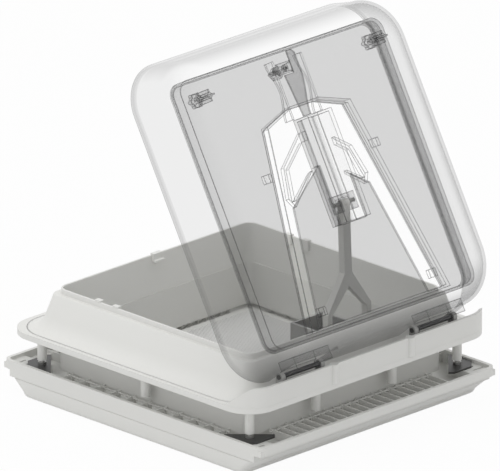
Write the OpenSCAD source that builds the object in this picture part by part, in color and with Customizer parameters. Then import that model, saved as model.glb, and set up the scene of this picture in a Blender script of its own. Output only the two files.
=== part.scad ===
// Roof vent for a caravan: a clear double dome that hinges on a roof frame,
// a duct through the roof, and a ceiling frame with a fly screen below it.
// X runs along the hinge line, Y from the hinge side to the free side, Z up.
// The origin is at the centre of the underside of the trim bezel.

/* [Roof] */
// Side of the square hole in the roof
cutout = 280; // [270:1:290]
// Gap between the duct and the hole, each side
duct_gap = 2.8; // [2:0.2:5]
// Roof thickness between the ceiling frame and the flange
roof_t = 32; // [28:1:42]

/* [Ceiling frame] */
// Ceiling frame size along the hinge line
tray_x = 334; // [332:1:345]
// Ceiling frame size from hinge side to free side
tray_y = 366; // [350:1:380]
// Corner radius of the ceiling frame
tray_r = 9; // [6:1:14]
// Height of the trim bezel
bezel_h = 18; // [16:1:22]
// Round of the bezel's lower edge
bezel_round = 5; // [3:1:8]
// How far the bezel's hinge and free sides lean in towards the ceiling's underside
bezel_lean = 15; // [8:1:18]
// Height of the tray wall above the bezel
tray_h = 16.5; // [14.5:0.5:22]
// Wall of the mouldings
wall = 3; // [2.5:0.5:3.5]
// Pitch of the fine ribs on the hinge and free sides
fin_pitch = 11; // [9:1:16]
// Thickness of a rib
rib_t = 1.6; // [1.2:0.2:2.4]

/* [Roof frame] */
// Side of the square roof flange
flange = 348; // [346:1:360]
// Corner radius of the flange
flange_r = 32; // [20:1:40]
// Thickness of the flange
flange_t = 6; // [4:0.5:7]
// Height of the collar ledge over the flange
collar_h = 36; // [34:0.5:38]
// Height of the rim that stands on the ledge
rim_h = 6; // [3:0.5:8]
// Height of the hinge side wall over the flange
hinge_wall_h = 20.4; // [14:0.2:22]
// Diameter of the screw bosses under the flange
boss_d = 9.6; // [8.4:0.2:11]
// Diameter of the clamp screws
screw_d = 4; // [3:0.5:5]

/* [Dome] */
// Opening angle of the dome at rest
open_angle = 60.5; // [20:0.5:61]
// Width of the outer dome
dome_w = 340; // [334:1:344]
// Length of the outer dome from the hinge line
dome_l = 336; // [333:1:340]
// Height of the outer dome above the hinge line
dome_h = 58; // [54:1:70]
// Depth of the outer dome below the hinge line
skirt_h = 15.8; // [8:0.2:16]
// Wall of the outer dome
dome_t = 3; // [2:0.5:4]
// Wall of the inner pane
pane_t = 2.5; // [1.5:0.5:3]
// Height of the upright sides of the inner pane
pane_h = 12; // [8:0.5:13]
// Height of the clear pocket over the inner pane
pocket_h = 10; // [8:0.5:11]

/* [Hinges and opener] */
// Diameter of the hinge rods
rod_d = 5; // [4:0.5:6]
// Running clearance round a rod or pin
run_gap = 0.08; // [0.02:0.01:0.1]
// Distance from the middle to the inner end of a hinge rod
rod_in = 63; // [60:1:66]
// Length of a hinge rod
rod_len = 62; // [60:1:66]
// Offset of the opener from the middle
opener_x = 16; // [10:1:20]
// Diameter of the arm's pins
pin_d = 5; // [4:0.5:6]
// Width of the opener rail
rail_w = 34; // [32:1:38]

/* [Hidden] */
$fn = 48;
eps = 0.02;

// Levels of the ceiling frame
rim_z = bezel_h + tray_h;
bezel_floor = 4;
bezel_wall = 8;
bezel_set = 10;
bezel_y = tray_y/2 - bezel_set;
bezel_foot = bezel_y - bezel_lean;
tray_floor = 3;
tray_wall = wall + 1;
floor_z = bezel_h + tray_floor;
throat_in = 12;
throat = cutout/2 - throat_in;
platform_h = 10;
rib_gap = 1.5;
step_h = 7;
step_z = bezel_h + step_h;
step_floor = 2;
slot = [14, 2, 6];
slot_in = [8, 14];
oval_d = 4;
oval_in = [12, 24];

// Levels of the roof frame
flange_z = rim_z + roof_t;
deck_z = flange_z + flange_t;
ledge_z = deck_z + collar_h;
well_rim_z = ledge_z + rim_h;
duct_half = cutout/2 - duct_gap;
duct_wall = wall + 0.5;
duct_lift = 6.7;
duct_bottom = floor_z + duct_lift;
corner_r = 10;

// Screw bosses and clamp plates
boss_gap = 5;
boss_at = duct_half + boss_d/2 + boss_gap;
boss_mid = 54;
boss_drop = 29.2;
bed_t = 0.6;
bed_in = boss_at + boss_d/2 + 0.7;
bed_r = 6;
pilot_d = screw_d - 0.4;
screw_hole_d = screw_d + 0.4;
plate_z = floor_z + platform_h;
plate_t = 2;
plate_gap = 0.5;
plate_tail = 24;
plate_nose = 5;
plate_chamfer = 4;
plate_x = tray_x/2 - tray_wall - boss_at - plate_gap;
plate_y = (tray_y/2 - tray_wall - boss_at)/2 - plate_gap;

// Hinge line
hinge_in = 8.6;
hinge_drop = 13.3;
hinge_y = -(flange/2 - hinge_in);
hinge_z = ledge_z - hinge_drop;

// Inner pane, in the dome's own frame: hinge line at the origin, free side at +Y
seal_t = 2;
seal_gap = 0.3;
pane_foot = ledge_z + seal_t + seal_gap - hinge_z;
pane_top = pane_foot + pane_h;
pane_side = 27.4;
pane_back = 22.8;
pane_front = 28;
pane_half = dome_w/2 - pane_side;
pane_y0 = pane_back;
pane_y1 = dome_l - pane_front;
pane_mid = (pane_y0 + pane_y1)/2;
pane_len = pane_y1 - pane_y0;
pane_r = 14;
draft = 6;
shoulder = 46;
shoulder_h = 40;
rim_r = 45;

// Ledge, rim and well of the roof frame, under the pane
seat_y = hinge_y + pane_mid;
ledge_in = 1.1;
ledge_w = 6.8;
collar_run = 13.5;
rim_t = 2.2;
ledge_x = pane_half - ledge_in;
ledge_y = pane_len/2 - ledge_in;
well_x = ledge_x - ledge_w;
well_y = ledge_y - ledge_w;

// Pocket, tongue and opener rail, in the dome's own frame
pocket_x = 3;
pocket_back = 8;
pocket_front = 61;
pocket_foot_in = 47.6;
pocket_head_in = 86.6;
pocket_y0 = pane_y0 + pocket_back;
pocket_y1 = pane_y1 - pocket_front;
pocket_x0 = pane_half - pocket_foot_in;
pocket_x1 = pane_half - pocket_head_in;
pocket_arch = 12;
pocket_top = 20;
strip_w = 18;
rail_end = 11;
rail_len = 114;
rail_y1 = pocket_y1 - rail_end;
rail_y0 = rail_y1 - rail_len;
rail_t = 2.5;
rail_low = 15;
rail_slot = 15;
rail_lip = 2;
loop_back = 94;
loop_y = pocket_y1 - loop_back;
loop_crown = 32;
loop_outer = [[10, 70], [-11, 69], [-48, 41], [-56, 10], [-50, 0], [-11, 31], [10, 31]];
loop_inner = [[10, 60], [-13, 59], [-42, 38], [-49, 6], [-17, 28], [10, 38]];
loop_t = 5;
loop_drop = 6;

// Arm geometry
pivot_in = 43.4;
pivot_up = 4.8;
pivot_y = hinge_y + pivot_in;
pivot_z = hinge_z + pivot_up;
head_in = 20;
head_y = rail_y0 + head_in;
head_z = 24;
head_dy = hinge_y + head_y*cos(open_angle) - head_z*sin(open_angle) - pivot_y;
head_dz = hinge_z + head_y*sin(open_angle) + head_z*cos(open_angle) - pivot_z;
arm_angle = atan2(head_dz, head_dy);
arm_len = norm([head_dy, head_dz]);
arm_t = 8;
stem_w = 10;
leg_at = 27.5;
leg_w = 6;
leg_end = 6;
leg_len = 18;
fork_len = 58;
fork_w = 14;
arm_gap = 1.5;
housing_w = 2*(leg_at - leg_w/2 - arm_gap);
housing_l = 70;
housing_h = 22;
housing_t = 2.5;
ear_up = 4.5;

// Screen
net_n = 17;
net_bar = 0.9;
net_t = 0.8;
screen_lap = 3;
screen_half = throat + screen_lap;
screen_bar = 8;
screen_h = 4;

// Latch at the free edge, in the dome's own frame
latch_x = 2;
latch_y = pane_y1 - 20;
latch_z = pane_top - 8;
latch_w = 12;
latch_pin_d = 3;
latch_ear_t = 3;
latch_plate_t = 2;
latch_free = 35;
hook_drop = 11.6;
hook_t = 4;
hook_toe = 5;
channel_t = 2.4;
channel_x0 = latch_x - latch_w/2 - latch_ear_t - 3;
channel_w = 40;
channel_x1 = channel_x0 + channel_w;
channel_y1 = pane_y1 - 10;
strip_from = [2, 12];
strip_to = [-3, 20];
strip_end = 7;

// Catch and hooks on the rim
catch_h = 7;
catch_toe = 4;
hook_w = 8;
hook_h = 9;
hook_wall = 3;
hook_top = 1.6;
hook_at = [53, 78];

// Small pieces on the dome
knuckle_h = 24;
knuckle_l = 14;
knuckle_gap = 6.5;
spacer_h = 18;
spacer_d = 13;
cap_h = 5.6;
clip_w = 10;
clip_l = 9;
clip_t = 4;
clip_high_in = 63;
clip_low_in = 11;
head_pin_d = 4;
slider_gap = 1;
slider_w = rail_w - 2*rail_t - slider_gap;

// Rectangle with round corners, centred
module round_rect(w, l, r) {
    square([w - 2*r, l], center = true);
    square([w, l - 2*r], center = true);
    for (x = [-1, 1], y = [-1, 1])
        translate([x*(w/2 - r), y*(l/2 - r)]) circle(r);
}

// Upright block with round corners between two levels
module block(w, l, r, z0, z1) {
    translate([0, 0, z0]) linear_extrude(z1 - z0) round_rect(w, l, r);
}

// Frame with round corners and an even wall
module ring(w, l, r, t, z0, z1) {
    translate([0, 0, z0]) linear_extrude(z1 - z0) difference() {
        round_rect(w, l, r);
        round_rect(w - 2*t, l - 2*t, max(r - t, 0.5));
    }
}

// Sloped block between two rounded rectangles
module taper(x0, y0, r0, z0, x1, y1, r1, z1) {
    hull() {
        block(2*x0, 2*y0, r0, z0, z0 + eps, $fn = 40);
        block(2*x1, 2*y1, r1, z1 - eps, z1, $fn = 40);
    }
}

// Places a shape over the middle of the well
module on_seat() {
    translate([0, seat_y, 0]) children();
}

// Places a shape in the dome's own frame: hinge line at the origin, free side at +Y
module on_dome() {
    translate([0, hinge_y, hinge_z]) rotate([open_angle, 0, 0]) children();
}

// Places a shape in the arm's frame: pivot at the origin, head along +Y
module on_arm() {
    translate([opener_x, pivot_y, pivot_z]) rotate([arm_angle, 0, 0]) children();
}

// Repeats a shape at the four corner bosses
module at_corners() {
    for (x = [-1, 1], y = [-1, 1]) translate([x*boss_at, y*boss_at, 0]) children();
}

// Repeats a shape at the bosses along the sides
module at_sides() {
    for (x = [-1, 1]) translate([x*boss_at, 0, 0]) children();
    for (x = [-1, 1], y = [-1, 1]) translate([x*boss_mid, y*boss_at, 0]) children();
}

module trim_bezel() {
    color("gainsboro") difference() {
        hull() {
            for (a = [0 : 15 : 90])
                block(tray_x - 2*bezel_round*(1 - sin(a)), 2*bezel_foot - 2*bezel_round*(1 - sin(a)), tray_r,
                    bezel_round*(1 - cos(a)), bezel_round*(1 - cos(a)) + eps, $fn = 32);
            block(tray_x, 2*bezel_y, tray_r, bezel_h - eps, bezel_h, $fn = 32);
        }
        difference() {
            block(tray_x - 2*bezel_wall, 2*(bezel_foot - bezel_wall), tray_r, bezel_floor, bezel_h + 1);
            block(2*(throat + wall), 2*(throat + wall), corner_r + wall, 0, bezel_h);
        }
        block(2*throat, 2*throat, corner_r, -1, bezel_h + 1);
    }
}

// Rib that runs from the tray wall towards the duct, drawn for the +X side
module tray_rib(from, to, h) {
    translate([from, -rib_t/2, floor_z]) cube([to - from, rib_t, h]);
}

module ceiling_tray() {
    rib_in = duct_half + rib_gap;
    color("whitesmoke") difference() {
        union() {
            ring(tray_x, tray_y, tray_r, tray_wall, bezel_h, rim_z);
            difference() {
                block(tray_x - 1, tray_y - 1, tray_r, bezel_h, floor_z);
                block(2*throat, 2*throat, corner_r, bezel_h - 1, floor_z + 1);
            }
            // Raised floor and riser over the step
            difference() {
                block(tray_x - 1, tray_y - 1, tray_r, step_z, step_z + step_floor);
                cube([tray_x, 2*(bezel_y - wall), 2*rim_z], center = true);
            }
            for (s = [0, 180])
                rotate(s) translate([1 - tray_x/2, bezel_y - wall, bezel_h])
                    cube([tray_x - 2, wall, step_h + step_floor]);
            for (s = [0, 180], y = [-5 : 5])
                rotate(s) translate([0, 2*fin_pitch*y, 0])
                    tray_rib(rib_in, tray_x/2 - 1, platform_h - 1);
            for (s = [90, 270], x = [-10 : 10])
                rotate(s) translate([0, fin_pitch*x, 0])
                    tray_rib(rib_in, tray_y/2 - 1, platform_h - 1);
            for (x = [-1, 1], y = [-1, 1])
                translate([x*(tray_x/4 + rib_in/2), y*(tray_y/4 + rib_in/2), floor_z + platform_h/2])
                    cube([tray_x/2 - rib_in - 2, tray_y/2 - rib_in - 2, platform_h], center = true);
        }
        // Step under the rim on the hinge and free sides
        for (y = [-1, 1])
            translate([0, y*tray_y/2, bezel_h + step_h/2 - 1])
                cube([tray_x + 2, 2*bezel_set, step_h + 2], center = true);
        at_corners() translate([0, 0, bezel_h - 1]) cylinder(d = screw_hole_d, h = 20);
        // Slot and oval hole in each corner platform
        for (x = [-1, 1], y = [-1, 1]) {
            translate([x*(boss_at + slot_in[0]), y*(tray_y/2 - slot_in[1]), floor_z + platform_h])
                cube(slot, center = true);
            translate([x*(tray_x/2 - oval_in[0]), y*(tray_y/2 - oval_in[1]), floor_z + platform_h - slot.z])
                cylinder(d = oval_d, h = 2*platform_h);
        }
    }
}

module screen_frame() {
    color("whitesmoke") ring(2*screen_half, 2*screen_half, corner_r, screen_bar, floor_z, floor_z + screen_h);
}

module fly_screen() {
    side = 2*(screen_half - screen_bar);
    cell = (side - net_bar)/net_n;
    color("white") translate([0, 0, floor_z + screen_h - net_t]) linear_extrude(net_t) difference() {
        round_rect(side, side, corner_r - screen_bar + 1);
        for (x = [0 : net_n - 1], y = [0 : net_n - 1])
            translate([x*cell - side/2 + net_bar, y*cell - side/2 + net_bar]) square(cell - net_bar);
    }
}

module duct_liner() {
    color("darkgray") ring(2*duct_half, 2*duct_half, corner_r, duct_wall, duct_bottom, deck_z);
}

// Flange whose outer band lies on the roof
module roof_flange() {
    color("whitesmoke") difference() {
        block(flange, flange, flange_r, flange_z, deck_z);
        block(2*bed_in, 2*bed_in, bed_r, flange_z - 1, flange_z + bed_t);
        block(2*duct_half, 2*duct_half, corner_r, flange_z - 1, deck_z + 1);
    }
}

// Bosses under the flange, with pilot holes at the corners
module flange_bosses() {
    color("whitesmoke") translate([0, 0, flange_z - boss_drop]) {
        at_corners() difference() {
            cylinder(d = boss_d, h = boss_drop + bed_t);
            translate([0, 0, -1]) cylinder(d = pilot_d, h = boss_drop - 3);
        }
        at_sides() cylinder(d = boss_d, h = boss_drop + bed_t);
    }
}

// Sloped collar with the ledge and the rim, hollow below
module roof_collar() {
    rim_x = well_x + rim_t;
    rim_y = well_y + rim_t;
    color("whitesmoke") on_seat() {
        difference() {
            taper(ledge_x + collar_run, ledge_y + collar_run, corner_r + collar_run, deck_z,
                ledge_x, ledge_y, corner_r, ledge_z);
            difference() {
                taper(ledge_x + collar_run - wall, ledge_y + collar_run - wall, corner_r + collar_run - wall,
                    deck_z - eps, ledge_x - wall, ledge_y - wall, corner_r, ledge_z - wall);
                block(2*rim_x, 2*rim_y, corner_r + rim_t, deck_z - 1, ledge_z);
            }
            block(2*well_x, 2*well_y, corner_r, deck_z - 1, ledge_z + 1);
        }
        ring(2*rim_x, 2*rim_y, corner_r + rim_t, rim_t, ledge_z, well_rim_z);
    }
}

// Wall along the hinge side that falls away round the two corners
module hinge_wall() {
    fall = flange_r + 2;
    level = fall - wall - rib_t - 4;
    pilaster_d = 9;
    pilaster_out = 3;
    color("whitesmoke") {
        difference() {
            ring(flange, flange, flange_r, wall, deck_z, deck_z + hinge_wall_h);
            translate([-flange, -flange/2 + fall, deck_z - 1]) cube([2*flange, 2*flange, 2*hinge_wall_h]);
            translate([0, -flange/2 + fall, deck_z]) rotate([-atan(hinge_wall_h/level), 0, 0])
                translate([-flange, -flange, 0]) cube([2*flange, 2*flange, 3*hinge_wall_h]);
        }
        for (x = [-1, 1])
            translate([x*boss_mid, pilaster_d/2 - pilaster_out - flange/2, deck_z])
                cylinder(d = pilaster_d, h = hinge_wall_h);
    }
}

module clamp_plates() {
    color("dimgray") for (x = [0, 1], y = [0, 1])
        mirror([x, 0, 0]) mirror([0, y, 0]) translate([boss_at, boss_at, plate_z])
            linear_extrude(plate_t) difference() {
                polygon([[plate_x - plate_chamfer, -plate_tail], [plate_x, plate_chamfer - plate_tail],
                    [plate_x, plate_nose], [plate_nose, plate_y], [plate_chamfer - plate_tail, plate_y],
                    [-plate_tail, plate_y - plate_chamfer]]);
                circle(d = screw_hole_d);
            }
}

module clamp_screws() {
    head_d = screw_d + 4.5;
    head_h = 2.4;
    head_z0 = plate_z + plate_t;
    color("silver") at_corners() {
        translate([0, 0, head_z0]) cylinder(d = head_d, h = head_h);
        translate([0, 0, bezel_h + 1]) cylinder(d = screw_d, h = head_z0 - bezel_h - 1);
        translate([0, 0, head_z0 + head_h])
            cylinder(d = screw_d, h = flange_z - boss_drop - head_z0 - head_h);
        translate([0, 0, flange_z - boss_drop]) cylinder(d = pilot_d, h = boss_drop - 4);
    }
}

// Ears on the roof frame that hold one hinge rod
module hinge_bracket(side) {
    ear_t = 5;
    ear_d = rod_d + 3.4;
    foot_t = 3;
    end_gap = 1;
    mid = side*(rod_in + rod_len/2);
    color("whitesmoke") difference() {
        union() {
            for (e = [-1, 1])
                translate([mid + e*(rod_len/2 - ear_t/2 - end_gap) - ear_t/2, hinge_y, 0]) {
                    translate([0, 0, hinge_z]) rotate([0, 90, 0]) cylinder(d = ear_d, h = ear_t);
                    translate([0, -ear_d/2, deck_z]) cube([ear_t, ear_d, hinge_z - deck_z]);
                }
            translate([mid - rod_len/2 + end_gap, hinge_y - ear_d/2, deck_z])
                cube([rod_len - 2*end_gap, ear_d, foot_t]);
        }
        translate([mid - rod_len/2, hinge_y, hinge_z]) rotate([0, 90, 0]) cylinder(d = rod_d, h = rod_len);
    }
}

module hinge_rod(side) {
    color("slategray") translate([side*(rod_in + rod_len/2) - rod_len/2, hinge_y, hinge_z])
        rotate([0, 90, 0]) cylinder(d = rod_d, h = rod_len);
}

module hinge_bracket_left() { hinge_bracket(-1); }
module hinge_bracket_right() { hinge_bracket(1); }
module hinge_rod_left() { hinge_rod(-1); }
module hinge_rod_right() { hinge_rod(1); }

// Keeper for the latch, clipped over the rim on the free side
module free_side_catch() {
    toe_t = 2.5;
    lip_t = 1.5;
    color("whitesmoke") translate([latch_x - latch_w/2, seat_y + well_y, well_rim_z]) {
        translate([0, -wall, -catch_h]) cube([latch_w, wall, catch_h]);
        translate([0, -wall - catch_toe, -catch_h]) cube([latch_w, catch_toe, toe_t]);
        translate([0, -wall, 0]) cube([latch_w, wall + rim_t, lip_t]);
    }
}

// Small hooks clipped over the rim on the two other sides
module side_hooks() {
    color("whitesmoke") for (s = [0, 1], y = hook_at)
        mirror([s, 0, 0]) translate([well_x - hook_wall, seat_y + y - hook_w/2, well_rim_z]) {
            cube([hook_wall + rim_t, hook_w, hook_top]);
            translate([0, 0, -hook_h]) cube([hook_wall, hook_w, hook_h]);
        }
}

// Open box on the hinge side of the well, with two ears for the arm's pivot
module arm_housing() {
    back = seat_y - well_y;
    reach = pivot_y - back;
    ear_r = pin_d/2 + 4;
    inside_w = housing_w - 2*housing_t;
    color("gainsboro") translate([opener_x, back, pivot_z - ear_up - housing_h]) difference() {
        union() {
            translate([-housing_w/2, 0, 0]) cube([housing_w, housing_l, housing_h]);
            for (x = [-housing_w/2, housing_w/2 - housing_t]) {
                translate([x, 0, 0]) cube([housing_t, reach + ear_r, housing_h + ear_up]);
                translate([x, reach, housing_h + ear_up]) rotate([0, 90, 0])
                    cylinder(r = ear_r, h = housing_t);
            }
        }
        translate([-inside_w/2, housing_t, housing_t]) cube([inside_w, housing_l - 2*housing_t, 2*housing_h]);
        translate([-housing_w, reach, housing_h + ear_up]) rotate([0, 90, 0])
            cylinder(d = pin_d, h = 2*housing_w);
    }
}

module arm_pivot_pin() {
    pin_half = leg_at + leg_w/2 + arm_gap;
    color("slategray") translate([opener_x - pin_half, pivot_y, pivot_z]) rotate([0, 90, 0])
        cylinder(d = pin_d, h = 2*pin_half);
}

// Solid form of the dome, drawn in by an even amount
module dome_form(inset) {
    half_w = dome_w/2 - inset;
    half_l = dome_l/2 - inset;
    top = dome_h - inset;
    start = top - shoulder_h;
    translate([0, dome_l/2, 0]) hull() {
        block(2*half_w, 2*half_l, rim_r - inset, -skirt_h, -skirt_h + eps, $fn = 40);
        for (a = [0 : 15 : 90]) {
            draw_in = draft + shoulder*(1 - cos(a));
            level = start + (top - start)*sin(a);
            block(2*(half_w - draw_in), 2*(half_l - draw_in), rim_r - inset - draw_in/3,
                level - eps, level, $fn = 40);
        }
    }
}

module outer_dome() {
    notch_w = rod_len + 6;
    notch_l = 20;
    color("white", 0.35) on_dome() difference() {
        dome_form(0);
        dome_form(dome_t);
        translate([0, dome_l/2, 0])
            block(dome_w - 2*dome_t, dome_l - 2*dome_t, rim_r - dome_t, -skirt_h - 1, -skirt_h + 1);
        for (s = [-1, 1])
            translate([s*(rod_in + rod_len/2) - notch_w/2, -notch_l, -skirt_h - 1])
                cube([notch_w, 2*notch_l, skirt_h + knuckle_h + 1]);
    }
}

// Half width of the pocket at a distance from the hinge line
function pocket_edge(y) = pocket_x1
    + (pocket_x0 - pocket_x1)*(pocket_y1 - pocket_arch - y)/(pocket_y1 - pocket_arch - pocket_y0);

// Outline of the pocket in the inner pane, drawn in by an even amount
function pocket_outline(k) = [
    [k - pocket_x0, pocket_y0 + k], [k - pocket_x1, pocket_y1 - pocket_arch - k],
    [-pocket_top, pocket_y1 - k], [pocket_top, pocket_y1 - k],
    [pocket_x1 - k, pocket_y1 - pocket_arch - k], [pocket_x0 - k, pocket_y0 + k]];

// Strip of the pane's plane that the rail takes up
module rail_band(gap) {
    translate([opener_x - rail_w/2 - gap, rail_y0 - gap]) square([rail_w + 2*gap, rail_len + 2*gap]);
}

// Tongue of the pane between the two open strips of the pocket
module tongue() {
    foot = pocket_edge(pocket_y0) - strip_w;
    side = pocket_edge(loop_y) - strip_w;
    crown = loop_y + loop_crown;
    difference() {
        polygon([[-foot, pocket_y0 - 1], [-side, loop_y], [-pocket_x, crown], [3*pocket_x, crown],
            [side, loop_y], [foot, pocket_y0 - 1]]);
        rail_band(seal_gap);
    }
}

module inner_pane() {
    color("lightgray", 0.6) on_dome() difference() {
        translate([0, pane_mid, 0]) union() {
            ring(2*pane_half, pane_len, pane_r, pane_t, pane_foot, pane_top);
            block(2*pane_half, pane_len, pane_r, pane_top, pane_top + pane_t);
        }
        translate([0, 0, pane_top - 1]) linear_extrude(pane_t + 2) difference() {
            polygon(pocket_outline(0));
            tongue();
        }
    }
}

module pane_seal() {
    color("darkgray") on_dome() translate([0, pane_mid, 0])
        ring(2*pane_half, pane_len, pane_r, pane_t + 1.2, pane_foot - seal_t, pane_foot);
}

module opener_pocket() {
    color("white", 0.4) on_dome() {
        translate([0, 0, pane_top + pane_t]) linear_extrude(pocket_h - pane_t) difference() {
            polygon(pocket_outline(-pane_t));
            polygon(pocket_outline(0));
        }
        translate([0, 0, pane_top + pocket_h]) linear_extrude(pane_t) polygon(pocket_outline(-pane_t));
    }
}

module opener_rail() {
    height = pane_top + pocket_h - rail_low;
    color("gray", 0.8) on_dome() translate([opener_x, rail_y0, rail_low]) difference() {
        translate([-rail_w/2, 0, 0]) cube([rail_w, rail_len, height]);
        translate([-rail_w/2 + rail_t, -1, rail_lip])
            cube([rail_w - 2*rail_t, rail_len - rail_t + 1, height - rail_lip - rail_t]);
        translate([-rail_slot/2, -1, -1]) cube([rail_slot, rail_len - rail_t + 1, 2*rail_lip]);
    }
}

// Open hexagonal grip loop beside the rail, mirrored about the middle of the pocket
module grip_loop(side) {
    color("white", 0.5) on_dome() translate([0, 0, pane_top - loop_drop]) linear_extrude(loop_t)
      difference() {
        translate([pocket_x, loop_y]) mirror([side > 0 ? 1 : 0, 0]) difference() {
            polygon(loop_outer);
            polygon(loop_inner);
        }
        rail_band(0);
        translate([opener_x, 0]) mirror([side > 0 ? 1 : 0, 0]) square([dome_w, dome_l]);
    }
}

module grip_loop_left() { grip_loop(-1); }
module grip_loop_right() { grip_loop(1); }

// Clear block of the dome that turns on one hinge rod
module hinge_knuckle(side) {
    length = rod_len - 2*knuckle_gap;
    color("white", 0.5) on_dome() translate([side*(rod_in + rod_len/2) - length/2, 0, 0]) difference() {
        union() {
            rotate([0, 90, 0]) cylinder(d = 2*rod_d, h = length);
            cube([length, knuckle_l, knuckle_h]);
        }
        translate([-1, 0, 0]) rotate([0, 90, 0]) cylinder(d = rod_d + 2*run_gap, h = length + 2);
    }
}

module hinge_knuckle_left() { hinge_knuckle(-1); }
module hinge_knuckle_right() { hinge_knuckle(1); }

// Repeats a shape at the two spacers near the free corners
module at_spacers() {
    from_side = 20.6;
    from_front = 22.5;
    on_dome() for (s = [-1, 1])
        translate([s*(pane_half - from_side), pane_y1 - from_front, pane_top]) children();
}

module spacer_bosses() {
    core_d = 6;
    fin_t = 1.8;
    color("white", 0.6) at_spacers() translate([0, 0, pane_t]) {
        cylinder(d = core_d, h = spacer_h);
        for (a = [0, 90]) rotate(a) translate([-spacer_d/2, -fin_t/2, 0]) cube([spacer_d, fin_t, spacer_h]);
    }
}

module spacer_caps() {
    bore_d = 7;
    lobe_d = 3.6;
    color("white", 0.6) at_spacers() translate([0, 0, -cap_h]) difference() {
        union() {
            cylinder(d = spacer_d, h = cap_h);
            for (a = [0 : 60 : 300]) rotate(a) translate([spacer_d/2, 0, 0]) cylinder(d = lobe_d, h = cap_h);
        }
        translate([0, 0, -1]) cylinder(d = bore_d, h = cap_h);
    }
}

// Clips beside the pocket's walls and on its roof
module pocket_clips() {
    high = pocket_y1 - clip_high_in;
    low = pocket_y0 + clip_low_in;
    color("white", 0.6) on_dome() for (s = [0, 1]) mirror([s, 0, 0]) {
        translate([pocket_edge(high) + 2*pane_t, high, pane_top + pane_t]) cube([clip_w, clip_l, clip_t]);
        translate([pocket_edge(low) - 2*clip_w, low, pane_top + pane_t + pocket_h])
            cube([clip_w, clip_l, clip_t]);
    }
}

// Two walls under the pane that guide the strip between the rail and the latch
module latch_channel() {
    depth = pane_top - pane_foot;
    dip = 0.3;
    run = channel_y1 - rail_y1;
    lower = [for (t = [0 : 0.05 : 1]) [channel_y1 - t*run, pane_top - depth*(1 - dip + dip*cos(360*t))]];
    color("white", 0.6) on_dome() for (x = [channel_x0, channel_x1])
        translate([x - channel_t, 0, 0]) rotate([90, 0, 90]) linear_extrude(channel_t)
            polygon(concat([[rail_y1, pane_top], [channel_y1, pane_top]], lower));
}

// Flat strip that joins the grip loops to the latch
module latch_strip() {
    end = latch_y - strip_end;
    color("gray", 0.8) on_dome() translate([0, 0, pane_top - latch_plate_t]) linear_extrude(latch_plate_t)
        polygon([[latch_x + strip_from[0], rail_y1], [latch_x + strip_from[1], rail_y1],
            [latch_x + strip_to[1], end], [latch_x + strip_to[0], end]]);
}

module latch_base() {
    half = latch_w/2 + latch_ear_t + seal_gap;
    ear_r = 4;
    plate_l = 12;
    color("white", 0.7) on_dome() translate([latch_x, latch_y, 0]) difference() {
        union() {
            translate([-half, -plate_l/2, pane_top - latch_plate_t]) cube([2*half, plate_l, latch_plate_t]);
            for (s = [0, 1])
                mirror([s, 0, 0]) translate([latch_w/2 + seal_gap, 0, latch_z]) {
                    rotate([0, 90, 0]) cylinder(r = ear_r, h = latch_ear_t);
                    translate([0, -ear_r, 0])
                        cube([latch_ear_t, 2*ear_r, pane_top - latch_z - latch_plate_t]);
                }
        }
        translate([-latch_w, 0, latch_z]) rotate([0, 90, 0]) cylinder(d = latch_pin_d, h = 2*latch_w);
    }
}

module latch_hook() {
    barrel_r = 3.5;
    toe_t = 3;
    pin_l = latch_w + 2*latch_ear_t + seal_gap;
    color("whitesmoke") on_dome() translate([latch_x, latch_y, latch_z]) rotate([-latch_free, 0, 0])
        translate([-latch_w/2, 0, 0]) {
            translate([(latch_w - pin_l)/2, 0, 0]) rotate([0, 90, 0])
                cylinder(d = latch_pin_d - 2*run_gap, h = pin_l);
            rotate([0, 90, 0]) cylinder(r = barrel_r, h = latch_w);
            translate([0, -hook_t/2, -hook_drop]) cube([latch_w, hook_t, hook_drop]);
            translate([0, hook_t/2, -hook_drop]) cube([latch_w, hook_toe, toe_t]);
        }
}

// Forked arm that holds the dome open
module stay_arm() {
    leg = [[-leg_at - leg_w/2, -leg_end], [-leg_at + leg_w/2, -leg_end], [-leg_at + leg_w/2, leg_len],
        [0, fork_len - fork_w], [0, fork_len], [-stem_w/2, fork_len], [-leg_at - leg_w/2, leg_len + 2]];
    color("silver") on_arm() difference() {
        union() {
            translate([0, 0, -arm_t/2]) linear_extrude(arm_t) {
                polygon(leg);
                mirror([1, 0]) polygon(leg);
                translate([-stem_w/2, fork_len - 1]) square([stem_w, arm_len - fork_len + 1]);
            }
            translate([-stem_w/2, arm_len, 0]) rotate([0, 90, 0]) cylinder(d = arm_t, h = stem_w);
        }
        translate([-leg_at - leg_w, 0, 0]) rotate([0, 90, 0])
            cylinder(d = pin_d + 2*run_gap, h = 2*(leg_at + leg_w));
        translate([-stem_w, arm_len, 0]) rotate([0, 90, 0]) cylinder(d = head_pin_d, h = 2*stem_w);
    }
}

module head_pin() {
    color("slategray") on_arm() translate([-slider_w/2, arm_len, 0]) rotate([0, 90, 0])
        cylinder(d = head_pin_d, h = slider_w);
}

// Block on the arm's head that runs in the opener rail
module rail_slider() {
    gap = stem_w + 1;
    length = 18;
    height = arm_t;
    bridge = 4;
    color("gray") on_dome() translate([opener_x, head_y, head_z]) difference() {
        translate([-slider_w/2, -length/2, -height/2]) cube([slider_w, length, height]);
        translate([-gap/2, -length/2 - 1, -height]) cube([gap, length - bridge + 1, 2*height]);
        translate([-slider_w, 0, 0]) rotate([0, 90, 0]) cylinder(d = head_pin_d + 2*run_gap, h = 2*slider_w);
    }
}

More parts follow.
